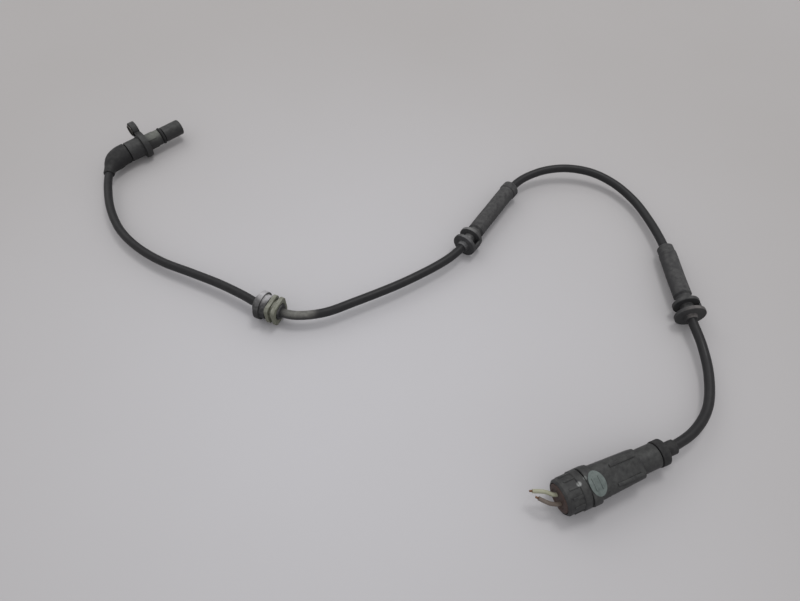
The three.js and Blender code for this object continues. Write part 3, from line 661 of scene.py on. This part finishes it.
def buildSensorBody():
    size = bodySizes
    outline = [
        (size["spigotBack"], size["spigotRadius"]),
        (size["collarBack"], size["spigotRadius"]),
        (size["collarBack"], size["collarRadius"]),
        (size["flangeBack"], size["collarRadius"]),
        (size["flangeBack"], size["flangeRadius"]),
        (0, size["flangeRadius"]),
        (0, probe["barrelRadius"]),
        (size["ringGroove"], probe["barrelRadius"]),
        (size["ringGroove"], size["noseRadius"]),
        (size["nose"], size["noseRadius"]),
    ]
    core = turned(closerSpaced(outline, 1.0), sides=96)
    # the collar is hollowed a little where the bolt's head turns
    axis = leaned @ Vector((0, 0, earSizes["boltDistance"]))
    for vert in core.verts:
        away = Vector((vert.co.x - axis.x, 0, vert.co.z - axis.z))
        if vert.co.y < size["flangeBack"] - 0.01 and away.length < earSizes["headRelief"]:
            away.length = earSizes["headRelief"]
            vert.co.x, vert.co.z = axis.x + away.x, axis.z + away.z
    softened(core, 0.28, 3)
    bossRadius = earSizes["bossRadius"]
    boss = turned([(size["flangeBack"], bossRadius), (0, bossRadius)], earSizes["bore"], 64)
    moved(softened(boss, earSizes["edge"], 3), atBolt)
    shells = [core, moved(earWeb(), leaned), boss]
    for i in range(size["ribs"]):
        turn = Matrix.Rotation((i + 0.5) * 2 * math.pi / size["ribs"], 4, "Y")
        top = probe["barrelRadius"] + size["ribHeight"]
        rib = block(-0.5, size["ribLength"], size["ribWidth"], 2, 0, top - 1)
        shells.append(moved(softened(rib, 0.3, 3), turn))
    # the mould's seam, a hair-thin line down both sides of collar and barrel
    for side in (-1, 1):
        for fromY, toY, radius in (
            (size["collarBack"] + 0.5, size["flangeBack"], size["collarRadius"]),
            (0, size["ringGroove"] - 0.3, probe["barrelRadius"]),
        ):
            rise = radius + size["seamHeight"] / 2 - 0.05
            seam = block(fromY, toY, size["seamWidth"], size["seamHeight"], 0, rise)
            shells.append(moved(softened(seam, 0.04, 1), Matrix.Rotation(side * math.pi / 2, 4, "Y")))
    body = moved(joined(*shells), onProbe)
    return finishPiece("sensorBody", body, glassNylon, "black_plastic", "sensor_body")


capSizes = {"back": 12.8, "tipRound": 1.2, "edge": 0.3, "gateRadius": 0.9, "gateDepth": 0.25}


def buildProbeCap():
    size = capSizes
    radius, tip = probe["barrelRadius"], probe["tip"]
    outline = [(size["back"], radius - size["edge"]), (size["back"] + size["edge"], radius)]
    outline += [(tip - size["tipRound"], radius)]
    for i in range(1, 9):
        angle = i * math.pi / 16
        outline.append((
            tip - size["tipRound"] + size["tipRound"] * math.sin(angle),
            radius - size["tipRound"] + size["tipRound"] * math.cos(angle),
        ))
    # a shallow dimple where the mould was fed
    outline += [(tip, size["gateRadius"] + 0.25), (tip - size["gateDepth"], size["gateRadius"])]
    cap = turned(closerSpaced(outline, 1.5), sides=96)
    return finishPiece("probeCap", moved(cap, onProbe), glassNylon, "black_plastic", "probe_cap")


def buildRing():
    middle = bodySizes["ringGroove"] + bodySizes["ringRadius"] + clearance
    radius = bodySizes["noseRadius"] + clearance + bodySizes["ringRadius"]
    bm = bmesh.new()
    section = bmesh.ops.create_circle(bm, cap_ends=False, radius=bodySizes["ringRadius"], segments=20)
    bmesh.ops.translate(bm, verts=section["verts"], vec=(radius, middle, 0))
    spun(bm, bm.verts[:] + bm.edges[:], 72)
    return finishPiece("sealingRing", moved(bm, onProbe), epdm, "black_rubber", "o_ring")


bushSizes = {"radius": 4.0, "bore": 3.3, "back": -4.9, "front": 0.3, "chamfer": 0.25, "seamDegrees": 2.4}


# a rolled bush: a strip of steel bent round, so a thin slit runs along it
def buildBoltBush():
    size = bushSizes
    profile = [
        (size["radius"] - size["chamfer"], size["back"]),
        (size["radius"], size["back"] + size["chamfer"]),
        (size["radius"], size["front"] - size["chamfer"]),
        (size["radius"] - size["chamfer"], size["front"]),
        (size["bore"] + size["chamfer"] / 2, size["front"]),
        (size["bore"], size["front"] - size["chamfer"] / 2),
        (size["bore"], size["back"] + size["chamfer"] / 2),
        (size["bore"] + size["chamfer"] / 2, size["back"]),
    ]
    bm = bmesh.new()
    spun(bm, outlined(bm, profile, True), 96, 360 - size["seamDegrees"])
    moved(bm, onProbe @ atBolt @ Matrix.Rotation(math.radians(115), 4, "Y"))
    return finishPiece("boltBush", bm, zincSteel, "steel", "bolt_bush")


buildSensorBody()
buildProbeCap()
buildRing()
buildBoltBush()
print("probe and flange made")

# ---- elbow boot ----
bootSizes = {
    "length": 23,
    "bigRadius": 6.7,
    "mouthRadius": 3.4,
    "faceEdge": 0.6,
    "lip": 0.4,
    "boreRadius": 2.65,
    "boreDepth": 1.2,
    "boreFloor": 2.55,
    "profile": [(0.026, 0), (0.26, 0), (0.48, 0.12), (0.65, 0.5), (0.8, 0.89), (1, 1)],
}


# a smooth line through the profile's points, as along and radius
def bootOutline():
    size = bootSizes
    start = cableStart - bodySizes["collarBack"] + clearance
    thinning = size["bigRadius"] - size["mouthRadius"]
    knots = [
        Vector((start + along * size["length"], size["bigRadius"] - inward * thinning, 0))
        for along, inward in size["profile"]
    ]
    outline = [(start, size["bigRadius"] - size["faceEdge"])]
    for span in splineSpans(knots):
        for i in range(6):
            point = pointOn(span, i / 6)
            outline.append((point.x, point.y))
    end, mouth, lip = start + size["length"], size["mouthRadius"], size["lip"]
    outline += [(end - lip, mouth), (end, mouth - lip)]
    return [*outline, (end, size["boreRadius"]), (end - size["boreDepth"], size["boreFloor"])]


def buildElbowBoot():
    boot = turned(bootOutline(), sides=80)
    return finishPiece("elbowBoot", bentAlongCable(boot), epdm, "black_rubber", "elbow_boot")


buildElbowBoot()
print("elbow boot made")

# ---- clip and its bush ----
clipSizes = {
    "halfWidth": 6.7,
    "corner": 3,
    "coreRadius": 5.6,
    "start": 8.4,
    "flange": 2.4,
    "groove": 1.7,
    "bore": 4.9,
    "slit": 0.8,
    "edge": 0.35,
}
clipBushSizes = {
    "radius": 4.6,
    "start": -0.6,
    "neck": 2.2,
    "bead": 0.9,
    "discRadius": 8.2,
    "disc": 3.2,
    "drumRadius": 6.9,
    "proud": 0.8,
    "edge": 0.4,
}


# a ring plate whose bore is open through a slit at the bottom
def slitPlate(outer, fromY, toY):
    half = math.degrees(math.asin(clipSizes["slit"] / 2 / clipSizes["bore"]))
    inner = arcPoints(0, 0, clipSizes["bore"], 270 - half, -90 + half, 40)
    gap = clipSizes["slit"] / 2
    lowest = min(z for _, z in outer)
    kept = [point for point in outer if not (abs(point[0]) < gap and point[1] < 0)]
    start = next(i for i, point in enumerate(kept) if point[0] > 0 and point[1] < 0 and kept[i - 1][0] < 0)
    ordered = kept[start:] + kept[:start]
    loop = [(gap, lowest), *ordered, (-gap, lowest), *inner]
    return softened(lofted(loop, [(fromY, 1, 1), (toY, 1, 1)]), clipSizes["edge"])


def buildClip():
    size = clipSizes
    starts = [size["start"], size["start"] + size["flange"] + size["groove"]]
    square = roundedRectangle(size["halfWidth"], size["halfWidth"], size["corner"], 8)
    hub = arcPoints(0, 0, size["coreRadius"], -86, 266, 60)
    plates = [slitPlate(square, y, y + size["flange"]) for y in starts]
    core = slitPlate(hub, starts[0] + 0.4, starts[1] + size["flange"] - 0.4)
    return finishPiece("guideClip", moved(joined(core, *plates), atClip), acetal, "grey_plastic", "clip")


def buildClipBush():
    size = clipBushSizes
    discStart = size["start"] + size["neck"]
    discEnd = discStart + size["disc"]
    drumEnd = clipSizes["start"] - clearance
    end = clipSizes["start"] + 2 * clipSizes["flange"] + clipSizes["groove"] + size["proud"]
    outline = [
        (size["start"], cableBore),
        (size["start"], size["radius"]),
        (size["start"] + size["edge"], size["radius"] + size["bead"]),
        (discStart, size["radius"] + size["bead"]),
        (discStart, size["discRadius"]),
        (discEnd, size["discRadius"]),
        (discEnd, size["drumRadius"]),
        (drumEnd, size["drumRadius"]),
        (drumEnd, size["radius"]),
        (end - size["edge"], size["radius"]),
        (end, size["radius"] - size["edge"]),
        (end, cableBore),
    ]
    bush = softened(turned(outline, sides=72), 0.3, 3)
    return finishPiece("clipBush", moved(bush, atClip), dustyEpdmPaintedHighlight, "black_rubber", "clip_bush")


clipPieces = [buildClip(), buildClipBush()]
print("clip made")

# ---- guide grommets ----
grommetSizes = {
    "tail": 2.2,
    "tailRadius": 3.6,
    "flange": 2.1,
    "groove": 5.2,
    "coreRadius": 3.6,
    "neck": 5,
    "neckRadius": 4.2,
    "sleeveRadius": 5.05,
    "collar": 6,
    "collarTaper": 1.3,
    "edge": 0.4,
    "bridgeThickness": 1.3,
    "bridgeWidth": 4.5,
}
# what differs between the two, and where each is from its route point
grommetPlaces = [
    {
        "name": "firstGrommet",
        "node": "grommet_1",
        "index": 21,
        "shift": 2.5,
        "direction": 1,
        "outerRadius": 7.4,
        "innerRadius": 7.3,
        "sleeve": 39.7,
        "collarRadius": 5.5,
    },
    {
        "name": "secondGrommet",
        "node": "grommet_2",
        "index": 33,
        "shift": -2.5,
        "direction": -1,
        "outerRadius": 8.6,
        "innerRadius": 7.4,
        "sleeve": 31,
        "collarRadius": 4.7,
    },
]


def buildGrommet(place):
    size = grommetSizes
    direction, outerRadius, innerRadius = place["direction"], place["outerRadius"], place["innerRadius"]
    grooveEnd = size["flange"] + size["groove"]
    spoolEnd = grooveEnd + size["flange"]
    sleeveStart = spoolEnd + size["neck"]
    collarStart = sleeveStart + place["sleeve"]
    end = collarStart + size["collar"]
    outline = [
        (-size["tail"], cableBore),
        (-size["tail"], size["tailRadius"] - size["edge"]),
        (-size["tail"] + 1, size["tailRadius"]),
        (0, size["tailRadius"]),
        (0, outerRadius),
        (size["flange"], outerRadius),
        (size["flange"], size["coreRadius"]),
        (grooveEnd, size["coreRadius"]),
        (grooveEnd, innerRadius),
        (spoolEnd, innerRadius),
        (spoolEnd, size["neckRadius"]),
        (sleeveStart - 1, size["neckRadius"]),
        (sleeveStart, size["sleeveRadius"]),
        (collarStart, size["sleeveRadius"]),
        (collarStart + size["edge"], place["collarRadius"]),
        (end - size["collarTaper"], place["collarRadius"]),
        (end, place["collarRadius"] - size["collarTaper"]),
        (end, cableBore),
    ]
    origin = lengthToPoint(place["index"]) + place["shift"]
    placed = [(origin + direction * along, radius) for along, radius in closerSpaced(outline, 1.6)]
    if direction < 0:
        placed.reverse()
    spool = softened(turned(placed, sides=80), 0.3, 3, 50)
    top = min(outerRadius, innerRadius)
    ends = sorted(origin + direction * along for along in (size["flange"] - 0.5, grooveEnd + 0.5))
    across = direction * (top - size["bridgeThickness"] / 2)
    bridge = softened(block(*ends, size["bridgeThickness"], size["bridgeWidth"], across), 0.3, 3)
    whole = bentAlongCable(joined(spool, bridge))
    return finishPiece(place["name"], whole, greyEpdmPaintedHighlights, "black_rubber", place["node"])


grommets = [buildGrommet(place) for place in grommetPlaces]
print("grommets made")

# ---- connector ----
plugSizes = {
    "glandTail": 3,
    "glandTailRadius": 3.7,
    "glandStep": 3.6,
    "glandFlangeRadius": 6.6,
    "glandFlange": 4.4,
    "glandSpigotRadius": 5.1,
    "glandSpigot": 3,
    "gap": 0.3,
    "neckRadius": 6.2,
    "neck": 11,
    "shell": 30,
    "halfWidth": 8.5,
    "halfHeight": 7.6,
    "corner": 4.8,
    "shoulder": 0.86,
    "band": 4.6,
    "bandRise": 0.9,
    "edge": 0.4,
    "railWidth": 1.6,
    "railHeight": 0.9,
    "railOffset": 4.6,
    "rail": 14,
    "railStart": 2,
}
socketSizes = {
    "mouthRadius": 6.6,
    "radius": 9.5,
    "length": 12.2,
    "waist": 0.7,
    "lip": 3.6,
    "ribs": 12,
    "ribWidth": 1.3,
    "sealDepth": 3.6,
    "sealRadius": 7.2,
    "sealProud": 0.5,
    "sealEdge": 0.4,
    "sealLip": 0.8,
    "sealRecess": 5.2,
    "taper": 1.0,
}
lockSizes = {
    "length": 8,
    "width": 12,
    "inset": 0.4,
    "depth": 0.8,
    "rise": 1.6,
    "dome": 16,
    "ridgeHalf": 0.4,
    "ridgeHeight": 1.2,
    "ridgeOffset": 1.6,
    "ridgeSink": 0.3,
}
wireSizes = {
    "radius": 1.0,
    "offset": 2.2,
    "rise": 0.45,
    "strands": 7,
    "strandLength": 1.6,
    "strandRadius": 0.17,
    "strandSpacing": 2.1,
    "strandShorter": 0.35,
}
# each wire's bend and end, across from its terminal and along from the back of the socket
wireCourses = [
    {"name": "brown", "side": -1, "bend": (1.8, 4.8), "end": (6.1, 9.1), "look": brownInsulation},
    {"name": "yellow", "side": 1, "bend": (3.2, 5.2), "end": (5.6, 10.4), "look": yellowInsulation},
]

glandEnd = plugSizes["glandStep"] + plugSizes["glandFlange"]
neckStart = glandEnd + plugSizes["gap"]
shellStart = neckStart + plugSizes["neck"]
shellEnd = shellStart + plugSizes["shell"]
socketStart = shellEnd + plugSizes["gap"]
socketEnd = socketStart + socketSizes["length"]
lockMiddle = shellEnd - lockSizes["length"] / 2 - lockSizes["inset"]


def buildGland():
    size = plugSizes
    outline = [
        (-size["glandTail"], cableBore),
        (-size["glandTail"], size["glandTailRadius"]),
        (size["glandStep"], size["glandTailRadius"]),
        (size["glandStep"], size["glandFlangeRadius"]),
        (glandEnd, size["glandFlangeRadius"]),
        (glandEnd, size["glandSpigotRadius"]),
        (glandEnd + size["glandSpigot"], size["glandSpigotRadius"]),
    ]
    gland = softened(turned(outline, sides=72), 0.4, 3)
    return finishPiece("cableGland", moved(gland, atConnector), epdm, "black_rubber", "cable_gland")


def buildPlugHousing():
    size = plugSizes
    shape = roundedRectangle(size["halfWidth"], size["halfHeight"], size["corner"], 10)
    sections = []
    for i in range(9):
        share = i / 8
        scale = size["shoulder"] + (1 - size["shoulder"]) * share
        sections.append((shellStart + share * size["shell"], scale, scale))
    shell = softened(lofted(shape, sections), size["edge"], 3)
    grownSizes = [size[name] + size["bandRise"] for name in ("halfWidth", "halfHeight", "corner")]
    bandShape = roundedRectangle(*grownSizes, 10)
    band = softened(lofted(bandShape, [(shellEnd - size["band"], 1, 1), (shellEnd, 1, 1)]), size["edge"], 3)
    neck = turned([(neckStart, size["neckRadius"]), (shellStart + 1, size["neckRadius"])], sides=72)
    rails = [
        softened(
            block(
                shellStart + size["railStart"],
                shellStart + size["railStart"] + size["rail"],
                size["railWidth"],
                2 * size["railHeight"],
                side * size["railOffset"],
                size["halfHeight"] * size["shoulder"],
            ),
            0.35,
            3,
        )
        for side in (-1, 1)
    ]
    whole = joined(shell, band, softened(neck, size["edge"], 3), *rails)
    return finishPiece("plugHousing", moved(whole, atConnector), glassNylon, "black_plastic", "plug_housing")


# an oval key with a domed top and two grip ridges
def buildLock():
    size = lockSizes
    floor = plugSizes["halfHeight"] - size["depth"] + clearance
    oval = [
        (size["width"] / 2 * math.cos(a), size["length"] / 2 * math.sin(a))
        for a in (2 * math.pi * i / 64 for i in range(64))
    ]
    crown = plugSizes["halfHeight"] + size["rise"]
    sections = [(floor, 1, 1), *((crown, share, share) for share in (1, 0.85, 0.65, 0.45, 0.25))]
    upright = Matrix.Translation((0, lockMiddle, 0)) @ Matrix.Rotation(math.pi / 2, 4, "X")
    bm = moved(lofted(oval, sections), upright)
    for vert in bm.verts:
        if vert.co.z > floor + 0.5:
            vert.co.z = crown - size["dome"] + math.sqrt(size["dome"] ** 2 - vert.co.x**2)
    bmesh.ops.recalc_face_normals(bm, faces=bm.faces)
    softened(bm, 0.3, 3, 45)
    ridges = [
        softened(
            block(
                y - size["ridgeHalf"],
                y + size["ridgeHalf"],
                size["width"] / 2,
                size["ridgeHeight"],
                0,
                crown - size["ridgeSink"],
            ),
            0.25,
            3,
        )
        for y in (lockMiddle - size["ridgeOffset"], lockMiddle + size["ridgeOffset"])
    ]
    whole = moved(joined(bm, *ridges), atConnector)
    return finishPiece("lockKey", whole, greenPbt, "lock_plastic", "lock_slide")


def buildSocketHousing():
    size = socketSizes
    waist = size["radius"] - size["waist"]
    outline = [
        (socketStart, size["mouthRadius"]),
        (socketStart, size["radius"]),
        (socketStart + size["lip"], size["radius"]),
        (socketStart + size["lip"] + 0.4, waist),
        (socketEnd - size["taper"], waist),
        (socketEnd, waist - size["taper"]),
        (socketEnd, size["sealRadius"] + clearance),
        (socketEnd - size["sealDepth"], size["sealRadius"] + clearance),
    ]
    shell = softened(turned(outline, sides=96), 0.25, 3)
    ribs = []
    for i in range(size["ribs"]):
        rib = block(socketStart + 1, socketEnd - 3, size["ribWidth"], size["waist"], 0, waist)
        turn = Matrix.Rotation((i + 0.5) * 2 * math.pi / size["ribs"], 4, "Y")
        ribs.append(moved(softened(rib, 0.25, 3), turn))
    whole = moved(joined(shell, *ribs), atConnector)
    return finishPiece("socketHousing", whole, glassNylon, "black_plastic", "socket_housing")


def buildWireSeal():
    size = socketSizes
    outline = [
        (socketEnd - size["sealDepth"], size["sealRadius"] - size["sealEdge"]),
        (socketEnd - size["sealDepth"] + size["sealEdge"], size["sealRadius"]),
        (socketEnd, size["sealRadius"]),
        (socketEnd + size["sealProud"], size["sealRadius"] - size["sealLip"]),
        (socketEnd + size["sealProud"], size["sealRecess"]),
        (socketEnd + size["sealProud"] - size["sealEdge"], size["sealRecess"] - size["sealEdge"]),
    ]
    seal = softened(turned(outline, sides=72), 0.15, 2)
    return finishPiece("wireSeal", moved(seal, atConnector), silicone, "seal_rubber", "wire_seal")


def wireRoute(course):
    across = course["side"] * wireSizes["offset"]
    points = [
        (across, socketEnd - socketSizes["sealDepth"] - clearance, 0),
        (across, socketEnd + socketSizes["sealProud"] + clearance, 0),
    ]
    for sideways, along in (course["bend"], course["end"]):
        points.append((across + sideways, socketEnd + along, wireSizes["rise"]))
    return [atConnector @ Vector(point) for point in points]


# seven copper strands, a little spread where the wire was cut
def buildStrands(name, spans):
    place = frameOf(spans[-1][1], headingOn(spans[-1], 1))
    dice = random.Random(name)
    radius = wireSizes["strandRadius"]
    strands = []
    for i in range(wireSizes["strands"]):
        angle = i * math.pi / 3
        reach = wireSizes["strandSpacing"] * radius if i else 0.0
        length = wireSizes["strandLength"] - dice.uniform(0, wireSizes["strandShorter"])
        across, rise = reach * math.cos(angle), reach * math.sin(angle)
        strand = block(-0.3, length, 2 * radius, 2 * radius, across, rise)
        strands.append(moved(softened(strand, 0.7 * radius, 3), place))
    return finishPiece(name + "Strands", joined(*strands), copper, "bare_copper", name + "_wire_strands")


def buildWires():
    wires = []
    for course in wireCourses:
        name = course["name"]
        spans = splineSpans(wireRoute(course))
        slot = name + "_insulation"
        wires.append(
            tubeThrough(name + "Wire", spans, wireSizes["radius"], course["look"], slot, name + "_wire")
        )
        wires.append(buildStrands(name, spans))
    return wires


connectorPieces = [
    buildGland(),
    buildPlugHousing(),
    buildLock(),
    buildSocketHousing(),
    buildWireSeal(),
    *buildWires(),
]
print("connector made")

# ---- finishes of the solids that stay ----
nodeFinishes = {
    "ic_carrier": carrierPlastic,
    "sensor_chip": chipResin,
    "bias_magnet": magnetPlate,
    "chip_lead_1": tinPlate,
    "chip_lead_2": tinPlate,
    "lead_crimp_1": tinPlate,
    "lead_crimp_2": tinPlate,
    "head_core_1": whiteInsulation,
    "head_core_2": whiteInsulation,
    "plug_core_1": whiteInsulation,
    "plug_core_2": whiteInsulation,
    "plug_pin_1": tinPlate,
    "plug_pin_2": tinPlate,
    "socket_terminal_1": tinPlate,
    "socket_terminal_2": tinPlate,
    "interface_seal": silicone,
}
for node, finish in nodeFinishes.items():
    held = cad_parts[node]
    for item in held if isinstance(held, (list, tuple)) else [held]:
        item.data.materials.clear()
        item.data.materials.append(finish)

# ---- table and light ----
table = {
    "size": 6,
    "colour": "#bebdbf",
    "paintedFalloffColour": "#a9a6a4",
    "middle": (-20, -238, 0),
    "reach": 0.384,
    "paintedFalloffShare": 0.85,
    "cloudShare": 0.2,
    "roughness": 0.8,
    "gloss": 0.2,
}
bm = bmesh.new()
bmesh.ops.create_grid(bm, x_segments=1, y_segments=1, size=table["size"] / 2)
tableMesh = bpy.data.meshes.new("tableTop")
bm.to_mesh(tableMesh)
bm.free()
tableMaterial, tableTree, tableSurface = newMaterial("mattTableTop")
tablePlace = addNode(tableTree, "ShaderNodeTexCoord").outputs["Object"]
# the top is painted a little darker and greyer away from the middle: a painted falloff of the light
tableReach = distanceFrom(tableTree, tablePlace, table["middle"])
tablePaintedFalloff = ranged(tableTree, tableReach, 0.0, table["reach"], 0.0, table["paintedFalloffShare"], kind="SMOOTHSTEP")
tableClouds = noise(tableTree, tablePlace, 6, 3)
tableCloudsAndFalloff = calculated(tableTree, "MULTIPLY_ADD", tableClouds, table["cloudShare"], tablePaintedFalloff)
tableColour = blended(tableTree, tableCloudsAndFalloff, tint(table["colour"]), tint(table["paintedFalloffColour"]))
tableTree.links.new(tableColour, tableSurface.inputs["Base Color"])
tableSurface.inputs["Roughness"].default_value = table["roughness"]
tableSurface.inputs["Specular IOR Level"].default_value = table["gloss"]
tableMesh.materials.append(tableMaterial)
tableTop = bpy.data.objects.new("tableTop", tableMesh)
bpy.context.scene.collection.objects.link(tableTop)

# the room lights the table evenly; a plain grey of its own is what camera and gloss see of it
room = {"light": "#f2f2f5", "strength": 0.84, "seen": "#b6b4b5"}
world = bpy.data.worlds.new("softRoom")
bpy.context.scene.world = world
world.use_nodes = True
worldTree = world.node_tree
roomLight = worldTree.nodes["Background"]
roomLight.inputs["Color"].default_value = tint(room["light"])
roomLight.inputs["Strength"].default_value = room["strength"]
roomSeen = addNode(worldTree, "ShaderNodeBackground", inputs={"Color": tint(room["seen"]), "Strength": 1})
rays = addNode(worldTree, "ShaderNodeLightPath").outputs
mirrored = calculated(worldTree, "MAXIMUM", rays["Is Glossy Ray"], rays["Is Transmission Ray"])
seen = calculated(worldTree, "MAXIMUM", rays["Is Camera Ray"], mirrored)
roomMix = addNode(
    worldTree,
    "ShaderNodeMixShader",
    inputs={0: seen, 1: roomLight.outputs[0], 2: roomSeen.outputs[0]},
)
worldTree.links.new(roomMix.outputs[0], worldTree.nodes["World Output"].inputs["Surface"])

lampFacts = [
    # name, place round the camera's heading in degrees (0 is straight ahead), height, distance, size, watts
    ("highWindow", -36, 70, 1.5, 0.45, 5.2),
    ("farWindow", 40, 45, 1.6, 1.2, 3),
]
aim = toRow @ Vector((60, -190, 0))
for name, turn, height, distance, size, watts in lampFacts:
    angle = heading + math.radians(turn)
    rise = math.radians(height)
    direction = Vector((math.cos(rise) * math.cos(angle), math.cos(rise) * math.sin(angle), math.sin(rise)))
    lampData = bpy.data.lights.new(name, "AREA")
    lampData.shape = "DISK"
    lampData.size = size
    lampData.energy = watts
    lamp = bpy.data.objects.new(name, lampData)
    lamp.location = aim + distance * direction
    lamp.rotation_euler = (-direction).to_track_quat("-Z", "Y").to_euler()
    bpy.context.scene.collection.objects.link(lamp)
bpy.context.scene.view_settings.view_transform = "Standard"
print("table and light set")
